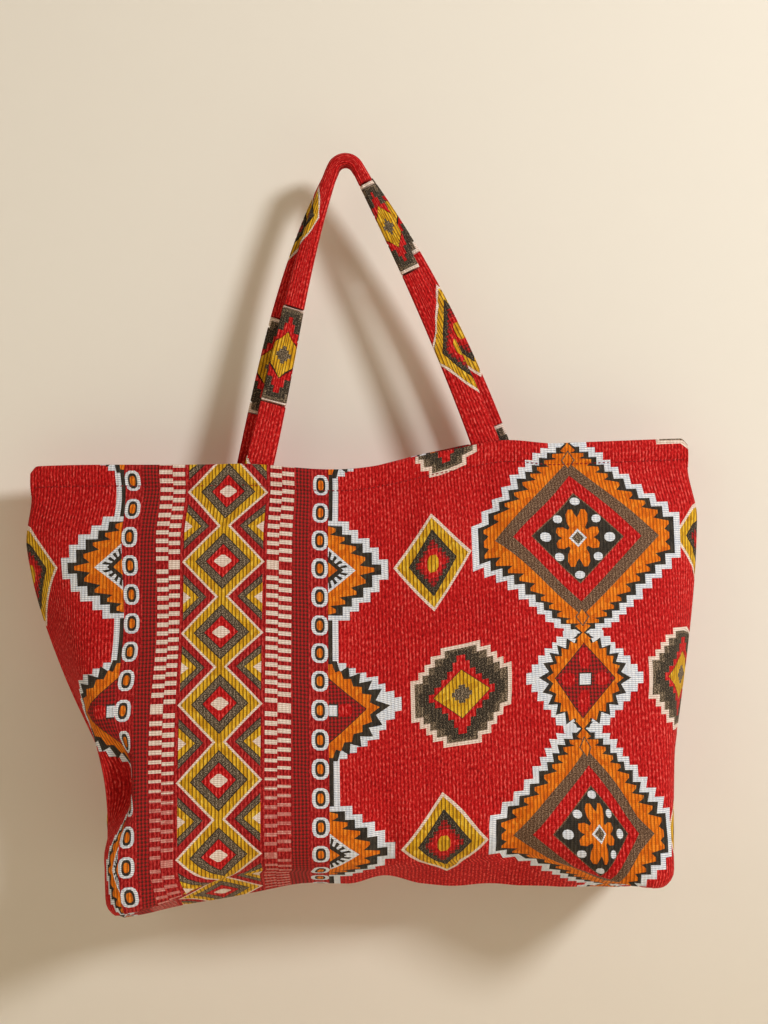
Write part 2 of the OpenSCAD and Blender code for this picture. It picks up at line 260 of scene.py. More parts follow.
def panel_inward(side, u, v):
    """Unit normal of the cloth into the bag, from small steps along and down it."""
    d = NORMAL_STEP
    end = lengths(side, u)[2]
    u0, u1 = np.maximum(u - d, -HALF_W), np.minimum(u + d, HALF_W)
    low = u < U_LEFT
    high = u > U_RIGHT
    u0 = np.where(high, np.maximum(u0, U_RIGHT + 1e-4), np.where(low, u0, np.maximum(u0, U_LEFT)))
    u1 = np.where(low, np.minimum(u1, U_LEFT - 1e-4), np.where(high, u1, np.minimum(u1, U_RIGHT)))
    v0, v1 = np.maximum(v - d, 0), np.minimum(v + d, end)
    along = panel_point(side, u1, v) - panel_point(side, u0, v)
    down = panel_point(side, u, v1) - panel_point(side, u, v0)
    n = np.cross(along, down)
    return -side * n / np.maximum(np.linalg.norm(n, axis=-1, keepdims=True), 1e-9)


# Yarns, in the order of the material slots
RED, MADDER, FLECK, YELLOW, ORANGE, GREY, DIM, DARK, WHITE, CREAM, ROSE, BROWN, INSIDE = range(13)


def rhomb(x, y, w, h):
    return [(x - w, y), (x, y - h), (x + w, y), (x, y + h)]


def box(x0, y0, x1, y1):
    return [(x0, y0), (x1, y0), (x1, y1), (x0, y1)]


def oval(x, y, w, h, n=12, p=0.75):
    """A rounded box for small p, an ellipse for p of 1."""
    a = [2 * math.pi * (i + 0.5) / n for i in range(n)]
    f = lambda c: math.copysign(abs(c) ** p, c)
    return [(x + w * f(math.cos(t)), y + h * f(math.sin(t))) for t in a]


def four(x, y, corner):
    """A closed outline from the points of one corner, mirrored to the other three."""
    q = list(corner)
    r = q[::-1]
    return (
        [(x + a, y - b) for a, b in q] + [(x - a, y - b) for a, b in r]
        + [(x - a, y + b) for a, b in q] + [(x + a, y + b) for a, b in r]
    )


def stair(x, y, steps, inset=0.0, drop=None):
    """A stepped outline, drawn in by inset and drop."""
    d = inset if drop is None else drop
    pts = []
    low = 0.0
    for w, h in steps:
        if w - inset <= 0 or h - d <= low:
            continue
        pts += [(w - inset, low), (w - inset, h - d)]
        low = h - d
    return four(x, y, pts[1:])


LAST_STEP, TALL_STEP, TOOTH_UP, TOOTH_DOWN, NARROWEST = 8, 14, 1, 2, 0.4


def teeth(x, y, steps, tip, root, drop):
    """Saw edge inside a stair: a tooth for each step, two where a step is tall."""
    pts, low = [], 0.0
    for (w, h), (after, _) in zip(steps, steps[1:] + [(steps[-1][0] - LAST_STEP, 0)]):
        n = 2 if h - low > TALL_STEP else 1
        for i in range(n):
            top = low + (h - low) * (i + 1) / n - drop
            mid = top - (h - low) / n / 2
            pts += [(w - tip, mid - TOOTH_UP), (w - tip, mid + TOOTH_DOWN)]
            pts.append(((w if i + 1 < n else after) - tip - root, top))
        low = h
    return four(x, y, [(max(a, NARROWEST), max(b, 0)) for a, b in pts])


def star(x, y, tips, inner):
    """An outline of rays, drawn in between the tips."""
    pts = []
    for (a, b), (c, d) in zip(tips, tips[1:]):
        pts += [(a, b), (inner * (a + c) / 2, inner * (b + d) / 2)]
    pts.append(tips[-1])
    return four(x, y, pts)


# Corners of the stepped outlines, from the middle of a figure, and the petals of the rosette
BIG = [
    (96, 21), (86, 31), (75.5, 39), (65.5, 48), (56, 58),
    (47, 65), (40, 72), (33, 79), (25.5, 84), (17, 89),
]
OCT = [(44.5, 18.5), (37.5, 25), (32, 31.5), (26.5, 38.5), (17.5, 45)]
STEP_A = [(53.5, 9.5), (45.5, 21), (37.5, 30), (27.5, 38), (19.5, 46)]
STEP_B = [(62.5, 6), (56.5, 12.5), (49, 20.5), (43, 28), (33, 33), (24, 38), (16, 43)]
SUN = [(52, 5), (47, 12), (41, 20), (35, 27), (28, 33), (24, 39), (18, 45)]
PETALS = [
    (14, 0), (17.5, 2), (19.5, 5), (18.5, 9.5), (13, 10), (8.5, 7.5), (7, 9.5),
    (9.5, 15), (10, 22), (7.5, 26.5), (4, 26.5), (2, 22), (0, 19),
]


def single_diamond(x, y):
    return [
        (CREAM, rhomb(x, y, 35, 47)), (YELLOW, rhomb(x, y, 32, 43)), (DARK, rhomb(x, y, 21.5, 32)),
        (DIM, rhomb(x, y, 20.5, 30)), (FLECK, stair(x, y, [(15, 3), (12, 8), (8.5, 13), (5, 18), (2.5, 22)])),
        (RED, stair(x, y, [(11.5, 3), (8, 9), (4.5, 14)])), (YELLOW, four(x, y, [(5, 3.5), (2.5, 8)])),
    ]


def octagon(x, y):
    return [
        (CREAM, stair(x, y, OCT)), (GREY, stair(x, y, OCT, 3.4)),
        (DIM, stair(x, y, [(38, 6), (34, 13), (29, 21), (23, 28), (16, 34), (10, 39)])),
        (RED, stair(x, y, [(29, 3.5), (24, 9), (18, 15), (12.5, 21.5), (7.5, 29), (3.8, 35)])),
        (DARK, rhomb(x, y, 25.5, 22)), (YELLOW, rhomb(x, y, 24.8, 21.3)),
        (GREY, stair(x, y, [(9, 2), (6.5, 5), (3, 8)])),
    ]


def big_medallion(x, y):
    out = [
        (WHITE, stair(x, y, BIG)), (DARK, stair(x, y, BIG, 6, 4)), (ORANGE, teeth(x, y, BIG, 11, 4.5, 4.5)),
        (BROWN, rhomb(x, y, 75, 72)), (RED, rhomb(x, y, 58.5, 58.5)),
        (BROWN, rhomb(x, y, 42, 42)), (DARK, rhomb(x, y, 40.5, 40.5)), (ORANGE, four(x, y, PETALS)),
        (WHITE, rhomb(x, y, 8, 8.5)), (GREY, rhomb(x, y, 5.6, 6)),
    ]
    for j in (-1, 1):
        out += [(BROWN, rhomb(x, y + j * 73, 6.5, 9.5)), (ORANGE, rhomb(x, y + j * 73, 5, 7.5))]
    for a, b, w, h in ((0, 34, 4.6, 3.6), (29, 0, 5, 4.4), (17.5, 17.5, 4.2, 3.8)):
        for i in (-1, 1):
            for j in (-1, 1):
                out.append((WHITE, oval(x + i * a, y + j * b, w, h, 10, 0.9)))
    return out


def sunburst(x, y):
    out = [
        (WHITE, stair(x, y, SUN)),
        (DARK, star(x, y, [(41, 0), (37, 13), (31, 23), (24, 31), (15, 38), (5, 43)], 0.82)),
        (ORANGE, star(x, y, [(34, 0), (31, 11), (26, 20), (20, 28), (12, 35), (3, 41)], 0.86)),
        (DARK, rhomb(x, y, 27, 33.5)), (FLECK, rhomb(x, y, 26, 32.5)),
        (DARK, box(x - 6, y - 6, x + 6, y + 6)), (WHITE, box(x - 4.8, y - 4.8, x + 4.8, y + 4.8)),
    ]
    for j in (-1, 1):
        out += [(RED, oval(x, y + j * 19, 5, 9.5)), (RED, oval(x + j * 15, y, 6, 6))]
    return out


def neck(x, y):
    tie = lambda w, h, k: [
        (x - w, y - h), (x + w, y - h), (x + k, y), (x + w, y + h), (x - w, y + h), (x - k, y)]
    return [(DARK, tie(9.5, 5.5, 2.4)), (ORANGE, tie(7, 6.5, 0.5))]


def half_a(x, y, s):
    out = [
        (WHITE, stair(x, y, STEP_A)), (DARK, stair(x, y, STEP_A, 6, 4.5)),
        (ORANGE, teeth(x, y, STEP_A, 12, 5, 5)),
        (WHITE, rhomb(x, y, 25, 22)), (DARK, rhomb(x, y, 14.5, 12.8)), (ORANGE, rhomb(x, y, 9, 8)),
    ]
    for i in (-1, 1):
        for f in (0.08, 0.3, 0.52, 0.74):
            p = lambda t, k: (x + s * k * 25 * t, y + i * k * 22 * (1 - t))
            out.append((DARK, [p(f, 0.88), p(f + 0.11, 0.88), p(f + 0.11, 0.55), p(f, 0.55)]))
    return out


def half_b(x, y, s):
    return [
        (WHITE, stair(x, y, STEP_B)),
        (DARK, star(x, y, [(53, 0), (46, 16), (38, 25), (28, 33), (18, 40), (8, 45)], 0.82)),
        (ORANGE, star(x, y, [(44, 0), (37, 12), (29, 20), (20, 28), (11, 36), (4, 42)], 0.88)),
        (DARK, rhomb(x, y, 33, 30)), (FLECK, rhomb(x, y, 32, 29)),
        (RED, oval(x + s * 15, y, 6, 6)), (DARK, box(x - 9, y - 6, x + 9, y + 6)),
        (WHITE, box(x - 8, y - 4.8, x + 8, y + 4.8)),
    ]


# Layout of the pattern in the flat cloth: rows, the band's middle, the medallions' column and the next repeat
ROW, FIRST_ROW = 130.4, 93.0
BAND, COLUMN, EDGE = -120.5, 196.0, 505.0
CLOTH_TOP, CLOTH_END = -200, 700
DIAMOND_OFF, OCTAGON_OFF, NECK_OFF = 185, 207, 88.2
BAND_EDGE, BAND_HALF, BAND_LIFT = 92, 92.8, 2.5
BAND_STEPS = range(-6, 10)
EDGE_LINES = ((WHITE, 101.5), (DARK, 96.5))
FLECKS, INNER_BARS, OUTER_BARS = (62, 76), (39, 49.5), (49.8, 61)
BAR_STARTS = ((INNER_BARS, 12), (OUTER_BARS, 6))
BAR_COUNT, BAR_PITCH, BAR_HALF, BLOCK_HALF = 15, 8.03, 2, 4.2
ROSE_FROM, ROSE_OVER, ROSE_SHARE = 165, 50, 0.8
OVAL_OFF, TRIANGLE_OFF = 85.5, 35.5
OVALS = ((WHITE, 7.3, 9.4), (DARK, 4.3, 7.1), (ORANGE, 2.6, 4.5))
TRIANGLES = ((DARK, 13.5, 21.5), (GREY, 14.7, 20.2), (DARK, 20, 14.6), (YELLOW, 21, 13.5), (CREAM, 28.5, 5.5))
RHOMBS = (
    (CREAM, 37, 38.7), (YELLOW, 34.4, 36), (DARK, 25, 26),
    (GREY, 23.8, 24.7), (DARK, 16, 16.5), (RED, 14.8, 15.3),
)
HEART = [(7.6, 0.8), (1.4, 5.6)]


def field(rows):
    """The single figures of the ground, then the columns of medallions tied by their necks."""
    columns = (COLUMN, 2 * BAND - COLUMN)
    out = []
    for y in rows:
        for x in (BAND + DIAMOND_OFF, BAND - DIAMOND_OFF, EDGE - DIAMOND_OFF):
            out += single_diamond(x, y)
        for x in (BAND + OCTAGON_OFF, EDGE - OCTAGON_OFF):
            out += octagon(x, y + ROW)
        for x in columns:
            out += sunburst(x, y + ROW)
    for y in rows:
        for x in columns:
            out += big_medallion(x, y - 1)
            for j in (-1, 1):
                out += neck(x, y - 1 + NECK_OFF * j)
    return out


def band_edge(s, rows):
    """One edge of the band: its two lines and the half medallions that grow from them."""
    x = BAND + s * BAND_EDGE
    out = [(yarn, box(x, CLOTH_TOP, BAND + s * off, CLOTH_END)) for yarn, off in EDGE_LINES]
    for y in rows:
        out += half_a(x, y + 1, s) + half_b(x, y + ROW, s)
    return out


def bars(s, y):
    """Two columns of short bars, thinner and rose lower down the bag."""
    marks = [(INNER_BARS, y, BLOCK_HALF), (OUTER_BARS, y + ROW, BLOCK_HALF)]
    for k in range(BAR_COUNT):
        for column, start in BAR_STARTS:
            marks += [(column, y + j * start + j * BAR_PITCH * k, BAR_HALF) for j in (1, -1)]
    out = []
    for (a, b), v, h in marks:
        x0, x1 = BAND + s * a, BAND + s * b
        to_rose = min(1, max(0, (v - FIRST_ROW - ROSE_FROM) / ROSE_OVER))
        if to_rose:
            out.append((ROSE, box(x0, v - h * ROSE_SHARE, x1, v + h * ROSE_SHARE)))
        if to_rose < 1:
            out.append((CREAM, box(x0, v - h * (1 - to_rose), x1, v + h * (1 - to_rose))))
    return out


def oval_row(s, y):
    out = []
    for k in range(-5, 5):
        out += [(yarn, oval(BAND + s * OVAL_OFF, y + ROW / 5 * k, w, h)) for yarn, w, h in OVALS]
    return out


def band_side(s, rows):
    """One side of the band: flecked stripe, bars, ovals and the triangles between its diamonds."""
    a, b = FLECKS
    out = [(FLECK, box(BAND + s * a, CLOTH_TOP, BAND + s * b, CLOTH_END))]
    for y in rows:
        out += bars(s, y) + oval_row(s, y)
    base = BAND + s * TRIANGLE_OFF
    for k in BAND_STEPS:
        y = FIRST_ROW - BAND_LIFT + ROW / 4 + ROW / 2 * k
        out += [(yarn, [(BAND + s * tip, y), (base, y - h), (base, y + h)]) for yarn, tip, h in TRIANGLES]
    return out


def kilim():
    """Shapes of the cloth from the ground up, each a yarn and an outline in the flat cloth."""
    rows = [FIRST_ROW + 2 * ROW * k for k in range(-2, 3)]
    out = field(rows) + band_edge(-1, rows) + band_edge(1, rows)
    out.append((MADDER, box(BAND - BAND_HALF, CLOTH_TOP, BAND + BAND_HALF, CLOTH_END)))
    out += band_side(-1, rows) + band_side(1, rows)
    middles = [FIRST_ROW - BAND_LIFT + ROW / 2 * k for k in BAND_STEPS]
    for yarn, w, h in RHOMBS:
        out += [(yarn, rhomb(BAND, y, w, h)) for y in middles]
    return out + [(CREAM, four(BAND, y, HEART)) for y in middles]


def dense(p, step=10.0):
    """The outline with points added along its long sides, so that it can follow the cloth."""
    out = []
    for a, b in zip(p, np.roll(p, -1, 0)):
        n = max(1, int(np.linalg.norm(b - a) / step))
        out += [a + (b - a) * i / n for i in range(n)]
    return np.array(out)


def settle(p):
    """Where a place of the flat pattern lies on the hung front, eased along its threads."""
    u, v = p[:, 0], p[:, 1]
    left, mid, right = ease((-130 - u) / 80), 1 - ease((u - 20) / 60), ease((u - 60) / 110)
    pleat, low = ease((v - 270) / 50), ease((v - 300) / 45)
    # Lean of the left half, which ends at the pleat, and the slack of its end
    du = -0.018 * v * ease((60 - u) / 180) * (1 - pleat * ease((-170 - u) / 30))
    du += left * (6 * hump((v - 150) / 95) - 5 * (1 - ease(v / 60)))
    du -= 5 * ease((-220 - u) / 45) * ease(v / 60) * (1 - ease((v - 240) / 60))
    du -= 8 * ease((-262 - u) / 22) * hump((v - 225) / 70)
    # Cloth taken up by the pleat at the lower left, and the slack beside it
    du += pleat * 0.75 * np.clip(-213 - u, 0, 52) * (1 - ease((-265 - u) / 70))
    du += 8 * hump((u + 150) / 110) * ease((v - 355) / 40) + 3 * hump((u - 70) / 80) * ease((v - 270) / 60)
    # Slack of the right half and at the right handle
    du += right * (8 * ease((v - 305) / 55) - 4 * hump((v - 262) / 45) - 1.5)
    du -= 5 * hump((u - 86) / 50) * (1 - ease(v / 50))
    # The lower medallion, drawn in most on its right
    far, near = np.clip(u - COLUMN, 0, None), np.clip(COLUMN - u, 0, None)
    drawn = ease((v - 250 - 0.25 * (far + near)) / 30)
    du -= (0.24 * drawn + 0.2 * low) * (np.minimum(far, 60) + 0.34 * np.maximum(far - 60, 0))
    du += (0.12 - 0.09 * low) * drawn * near * ease((u - 60) / 40)
    # Sag between the handles and drift down the cloth
    dv = 7 * hump((u - 55) / 95) * (1 - ease(v / 240)) + 5 * hump((u - 65) / 60) * hump((v - 100) / 110)
    dv += 8 * hump((u - 80) / 60) * (1 - ease(v / 60))
    drift = mid * (3 * ease((v - 270) / 60) - 3 * hump((v - 210) / 80))
    dv += drift - ease((u - 110) / 60) * (3 + 4.5 * hump((v - 225) / 90))
    return np.stack([u + du, v + dv], -1)


BACK_SHIFT = 45


def turned(p):
    """The pattern as it lies on the back, mirrored and shifted clear of the side seams."""
    return np.stack([BACK_SHIFT - p[:, 0], p[:, 1]], -1)


# Meshes cut along the pattern's edges
def cut_cloth(shapes, grid, rim, keep, margin=3.0, merge=1e-4):
    """Flat triangles with the yarn of each, from inner points, a closed rim and a test of the inside."""
    points = [tuple(p) for p in grid]
    edges = []

    def add(loop):
        first = len(points)
        points.extend((float(a), float(b)) for a, b in loop)
        n = len(loop)
        edges.extend((first + i, first + (i + 1) % n) for i in range(n))

    add(rim)
    lo, hi = np.min(rim, 0), np.max(rim, 0)
    used = []
    for yarn, poly in shapes:
        a, b = poly.min(0), poly.max(0)
        if (b < lo).any() or (a > hi).any():
            continue
        used.append((yarn, poly))
        add(np.clip(poly, lo - margin, hi + margin))
    verts, _, faces, *_ = delaunay_2d_cdt([Vector(p) for p in points], edges, [], 0, merge)
    verts = np.array([(v.x, v.y) for v in verts])
    faces = np.array([f for f in faces if len(f) == 3])
    mid = verts[faces].mean(1)
    inside = keep(mid[:, 0], mid[:, 1])
    faces, mid = faces[inside], mid[inside]
    yarns = np.full(len(faces), RED)
    for yarn, poly in used:
        a, b = poly.min(0), poly.max(0)
        near = np.nonzero((mid > a).all(1) & (mid < b).all(1))[0]
        if not len(near):
            continue
        x, y = mid[near, 0], mid[near, 1]
        hit = np.zeros(len(near), bool)
        for (x0, y0), (x1, y1) in zip(poly, np.roll(poly, -1, 0)):
            if y0 != y1:
                cross = ((y0 > y) != (y1 > y)) & (x < (x1 - x0) * (y - y0) / (y1 - y0) + x0)
                hit ^= cross
        yarns[near[hit]] = yarn
    order = np.unique(faces)
    index = np.full(len(verts), -1)
    index[order] = np.arange(len(order))
    return verts[order], index[faces], yarns


def border(faces):
    """Edges with one triangle, in that triangle's direction."""
    e = np.concatenate([faces[:, [0, 1]], faces[:, [1, 2]], faces[:, [2, 0]]])
    key = np.sort(e, 1)
    _, first, count = np.unique(key, axis=0, return_index=True, return_counts=True)
    return e[first[count == 1]]


def link(name, data):
    obj = bpy.data.objects.new(name, data)
    bpy.context.collection.objects.link(obj)
    return obj


def smooth_mesh(name, verts, faces):
    """A smooth mesh in metres from points in millimetres."""
    mesh = bpy.data.meshes.new(name)
    mesh.from_pydata((verts / 1000).tolist(), [], faces)
    mesh.polygons.foreach_set("use_smooth", np.ones(len(mesh.polygons), bool))
    return mesh


SHARP_TURN = 50


def make_mesh(name, verts, faces, slots, cloth, bake, materials):
    """A cloth piece: yarn of each face, place in the flat cloth and a layout for baking."""
    mesh = smooth_mesh(name, verts, faces)
    mesh.polygons.foreach_set("material_index", slots)
    loops = np.empty(len(mesh.loops), int)
    mesh.loops.foreach_get("vertex_index", loops)
    for key, uv in (("cloth", cloth / 1000), ("OFBake", bake)):
        layer = mesh.uv_layers.new(name=key)
        layer.data.foreach_set("uv", uv[loops].astype(np.float32).ravel())
    for m in materials:
        mesh.materials.append(m)
    mesh.set_sharp_from_angle(angle=math.radians(SHARP_TURN))
    mesh.update()
    return link(name, mesh)


# Panels: grid of the flat cut, hem and seams, and the layout of the two faces for baking
PITCH, CLOSEST, RIM_GAP = 5.0, 0.5, 1.5
END_STEPS = np.array([0.8, 1.8, 3.2, 7.5])
HEM_ROWS = [0.6, 1.5, 3.5, 7, 11, 15, 17.5, 19.4, 20.8, 21.3, 24]
ROWS_FROM, ROWS_TO = 28, 480
SIDE_POINTS, GUSSET_POINTS = 80, 16
FOLD_EASE, SEAM_TUCK, SEAM_REACH = 0.25, 1.1, 3.5
HEM_PUFF, PUFF_FROM, PUFF_SPAN = 0.9, 1, 17.5
DENT, DENT_V, DENT_REACH = 0.7, 19.4, 1.1
BAKE_W = 624
BAKE_FACES = ((0.995, 640), (0.24, 2200))


def panel_cut(side):
    """Inner points and closed rim of the flat cut: top fold, sides, cut-out corners and base seam."""
    ends = HALF_W - END_STEPS
    columns = np.arange(-HALF_W, HALF_W + 1, PITCH)
    us = np.unique(np.concatenate([columns, [U_LEFT, U_RIGHT], ends, -ends]))
    us = us[np.concatenate([[True], np.diff(us) > CLOSEST])]
    rows = np.concatenate([HEM_ROWS, np.arange(ROWS_FROM, ROWS_TO, PITCH)])
    grid = [(u, v) for u, end in zip(us, lengths(side, us)[2]) for v in rows if v < end - RIM_GAP]
    inner = us[(us >= U_LEFT - TINY) & (us <= U_RIGHT + TINY)]
    right, left = us[us > U_RIGHT + TINY][::-1], us[us < U_LEFT - TINY][::-1]
    gusset = lambda u: lengths(side, np.array(u))[1]
    whole = lambda u: lengths(side, np.array(u))[2]
    down = lambda a, b: np.linspace(a, b, SIDE_POINTS)[1:-1]
    rim = [(u, 0.0) for u in us] + [(HALF_W, v) for v in down(0, gusset(HALF_W))]
    rim += [(u, gusset(u)) for u in right]
    rim += [(U_RIGHT, v) for v in np.linspace(gusset(U_RIGHT), whole(U_RIGHT), GUSSET_POINTS)]
    rim += [(u, whole(u)) for u in inner[::-1][1:-1]]
    rim += [(U_LEFT, v) for v in np.linspace(whole(U_LEFT), gusset(U_LEFT), GUSSET_POINTS)]
    rim += [(u, gusset(u)) for u in left] + [(-HALF_W, v) for v in down(gusset(-HALF_W), 0)]
    return grid, np.array(rim, float)


def panel_faces(side, u, v):
    """Outer and inner face of the hung cloth: folded top, puffed and stitched hem, tucked seams."""
    outer, inward = panel_point(side, u, v), panel_inward(side, u, v)
    thick = np.where(v <= HEM_H, 2 * CLOTH_T, CLOTH_T)
    r = CLOTH_T
    fold = np.where(v < r, r - np.sqrt(np.maximum(r * r - (r - v) ** 2, 0)) - FOLD_EASE, 0).clip(0)
    seam = SEAM_TUCK * np.clip(1 - (HALF_W - np.abs(u)) / SEAM_REACH, 0, 1) ** 2 * (v > HEM_H)
    puff = HEM_PUFF * np.sin(np.pi * np.clip((v - PUFF_FROM) / PUFF_SPAN, 0, 1))
    puff -= DENT * np.exp(-((v - DENT_V) / DENT_REACH) ** 2)
    face = outer + inward * (fold + seam - puff)[:, None]
    back = outer + inward * (thick - fold)[:, None]
    q = np.maximum(0, np.minimum(v, wall_len(u)) - HEM_H) / WALL_H
    limit = np.where(v > lengths(side, u)[1], seam_y(1.0), seam_y(q)) + side * SEAM_GAP / 2
    back[:, 1] = np.minimum(back[:, 1], limit) if side < 0 else np.maximum(back[:, 1], limit)
    for layer in (face, back):
        layer[:, 2] = np.maximum(layer[:, 2], outer[:, 2].min())
    return face, back


def make_panel(name, side, shapes, materials):
    """A panel with the pattern outside and on the turned hem, the reverse inside, and a plain rim."""
    grid, rim = panel_cut(side)
    inside = lambda u, v: (v > 0) & (np.abs(u) < HALF_W) & (v < lengths(side, u)[2])
    flat, faces, yarns = cut_cloth(shapes, grid, rim, inside)
    u, v = flat[:, 0], flat[:, 1]
    n = len(flat)
    tris = faces if side < 0 else faces[:, ::-1]
    edge = border(tris)
    rim_quads = np.stack([edge[:, 1], edge[:, 0], edge[:, 0] + n, edge[:, 1] + n], 1)
    all_faces = tris.tolist() + (tris[:, ::-1] + n).tolist() + rim_quads.tolist()
    hem = v[faces].mean(1) < HEM_H
    slots = np.concatenate([yarns, np.where(hem, yarns, INSIDE), np.full(len(rim_quads), RED)])
    share = (u + BAKE_W / 2) / BAKE_W
    bake = np.concatenate([np.stack([share, top - v / tall], -1) for top, tall in BAKE_FACES])
    verts = np.concatenate(panel_faces(side, u, v))
    return make_mesh(name, verts, all_faces, slots, np.concatenate([flat, flat]), bake, materials)


# Handles: folded straps swept from the left hem over the crest to the right hem
LEG_STEPS, CREST_STEPS, BOW_SHARE, GATHER_POWER = 60, 25, 0.34, 0.8
STRAP_SQUARE, CREST_SQUARE = 0.5, 0.85


def strap_foot(side, u):
    """Middle of the strap at the top edge, clear of the inside of the hem."""
    us, vs = np.meshgrid(u + np.linspace(-1, 1, 5) * STRAP_W / 2, [0, HEM_H / 2, HEM_H])
    inside = panel_point(side, us, vs) + panel_inward(side, us, vs) * 2 * CLOTH_T
    y = side * ((side * inside[..., 1]).min() - SEAM_GAP - STRAP_T / 2)
    at = np.array(u)
    return np.array([panel_point(side, at, np.array(0.0))[0], y, top_z(side, at, 0.0)])


def strap_leg(side, end, hub):
    """A leg from the crest to its tab in the hem: points, turn, gather and squareness."""
    hi, lo = LEANS[side][end]
    spread = STRAP_SPREAD + (0 if side < 0 else BACK_SPREAD)
    foot = strap_foot(side, HANDLE_X - MOUTH_X + end * spread / 2)
    way = lambda d: np.array([end * sin(d), 0, -cos(d)])
    top = hub + CREST_R * np.array([end * cos(hi), 0, sin(hi)])
    bow = BOW_SHARE * np.linalg.norm(foot - top)
    t = np.linspace(0, 1, LEG_STEPS)[1:, None]
    b, c = top + bow * way(hi), foot - bow * way(lo)
    p = (1 - t) ** 3 * top + 3 * (1 - t) ** 2 * t * b + 3 * (1 - t) * t * t * c + t ** 3 * foot
    tab = foot + (HEM_H - CLOTH_T) * way(lo)
    t = t[:, 0]
    lean = mix(hi, lo, t)
    turn = 360 - lean if end < 0 else 180 + lean
    gather, square = 1 - t ** GATHER_POWER, mix(CREST_SQUARE, STRAP_SQUARE, t)
    return (
        np.vstack([p, tab]), np.append(turn, turn[-1]),
        np.append(gather, 0), np.append(square, STRAP_SQUARE))


def strap_path(side):
    """The strap from tab to tab: length along it, points, turn, gather and squareness."""
    hub = np.array([0, side * (CREST_T / 2 + SEAM_GAP), CREST_W / 2 - CREST_R])
    a = np.linspace(180 - LEANS[side][-1][0], LEANS[side][1][0], CREST_STEPS)
    arc = hub + CREST_R * np.stack([cos(a), 0 * a, sin(a)], -1)
    crest = (arc, a + 180, np.ones(CREST_STEPS), np.full(CREST_STEPS, CREST_SQUARE))
    parts = zip(strap_leg(side, -1, hub), crest, strap_leg(side, 1, hub))
    p, turn, gather, square = (np.concatenate([left[::-1], mid, right]) for left, mid, right in parts)
    s = np.concatenate([[0], np.cumsum(np.linalg.norm(np.diff(p, axis=0), axis=1))]) - (HEM_H - CLOTH_T)
    return s, p, turn, gather, square


AROUND = np.radians(np.linspace(90, 450, 721))
RING = np.stack([np.sign(f(AROUND)) * np.abs(f(AROUND)) ** STRAP_SQUARE for f in (np.cos, np.sin)], -1)
RING = RING * [STRAP_W / 2, STRAP_T / 2]
GIRTH = np.concatenate([[0], np.cumsum(np.linalg.norm(np.diff(RING, axis=0), axis=1))])
HALF_GIRTH = GIRTH[-1] / 2
STRAP_COLUMNS, STRAP_ROWS = 45, 260
STRAP_OCTAGONS = (102, 370, 634)
STRAP_DIAMONDS = ((-20, -32), (-28, 232), (-14, 496))
# Creases along the strap: place across, reach and depth
CREASES = ((6.5, 1.1, 1), (-8, 1.4, 0.5))
CREASE_DEPTH, GATHER_DEPTH, GATHERS, GATHER_TURN = 0.2, 0.1, 5, 0.6


def strap_shapes(shift, slide):
    out = []
    for y in STRAP_OCTAGONS:
        out += octagon(slide, y + shift)
    for x, y in STRAP_DIAMONDS:
        out += single_diamond(x + slide, y + shift)
    return [(yarn, np.array(p, float)) for yarn, p in out]


def strap_surface(path, t, s):
    """Points of the strap at t round its girth and s along it, gathered at the crest and creased in front."""
    s_at, p_at, turn_at, gather_at, square_at = path
    a = np.interp(t + HALF_GIRTH, GIRTH, AROUND)
    at = lambda f: np.interp(s, s_at, f)
    c = np.stack([at(p_at[:, i]) for i in range(3)], -1)
    turn, g, sq = at(turn_at), at(gather_at), at(square_at)
    w, d = mix(STRAP_W, CREST_W, g), mix(STRAP_T, CREST_T, g * g)
    ca, sa = np.cos(a), np.sin(a)
    x, y = np.sign(ca) * np.abs(ca) ** sq, np.sign(sa) * np.abs(sa) ** sq
    crease = sum(depth * np.exp(-((t - place) / reach) ** 2) for place, reach, depth in CREASES)
    pleat = 1 - GATHER_DEPTH * ease((g - 0.2) / 0.5) * (0.5 + 0.5 * np.cos(GATHERS * a + GATHER_TURN))
    pleat -= CREASE_DEPTH * crease * (1 - 0.5 * g) * (sa < 0)
    x, y = x * mix(1, pleat, 0.5), y * pleat
    return c + np.stack([cos(turn) * x * w / 2, y * d / 2, sin(turn) * x * w / 2], -1)


def make_handle(name, side, shapes, materials):
    """A strap cut along its pattern, closed round its girth and capped at both ends."""
    path = strap_path(side)
    lo, hi = path[0][0], path[0][-1]
    across = np.linspace(-HALF_GIRTH, HALF_GIRTH, STRAP_COLUMNS)
    along = np.linspace(lo, hi, STRAP_ROWS)
    grid = [(t, s) for t in across[1:-1] for s in along[1:-1]]
    rim = [(t, lo) for t in across] + [(HALF_GIRTH, s) for s in along[1:-1]]
    rim += [(t, hi) for t in across[::-1]] + [(-HALF_GIRTH, s) for s in along[::-1][1:-1]]
    inside = lambda t, s: (np.abs(t) < HALF_GIRTH) & (s > lo) & (s < hi)
    flat, faces, yarns = cut_cloth(shapes, grid, np.array(rim), inside)
    t, s = flat[:, 0], flat[:, 1]
    caps = []
    for j, e in enumerate((lo, hi)):
        ring = [int(i) for i in np.argsort(t) if abs(s[i] - e) < TINY]
        ring = ring if j == 0 else ring[::-1]
        caps += [[a, b, len(flat) + j] for a, b in zip(ring, ring[1:])]
    pts = np.vstack([strap_surface(path, t, s), path[1][0], path[1][-1]])
    flat = np.vstack([flat, [0, lo], [0, hi]])
    t, s = flat[:, 0], flat[:, 1]
    slots = np.concatenate([yarns, np.full(len(caps), INSIDE)])
    k = np.clip((s - lo) / (hi - lo), 0, 1)
    bake = np.stack([0.01 + 0.98 * k, 0.02 + 0.2 * (t + HALF_GIRTH) / HALF_GIRTH / 2], -1)
    return make_mesh(name, pts, faces[:, ::-1].tolist() + caps, slots, flat, bake, materials)


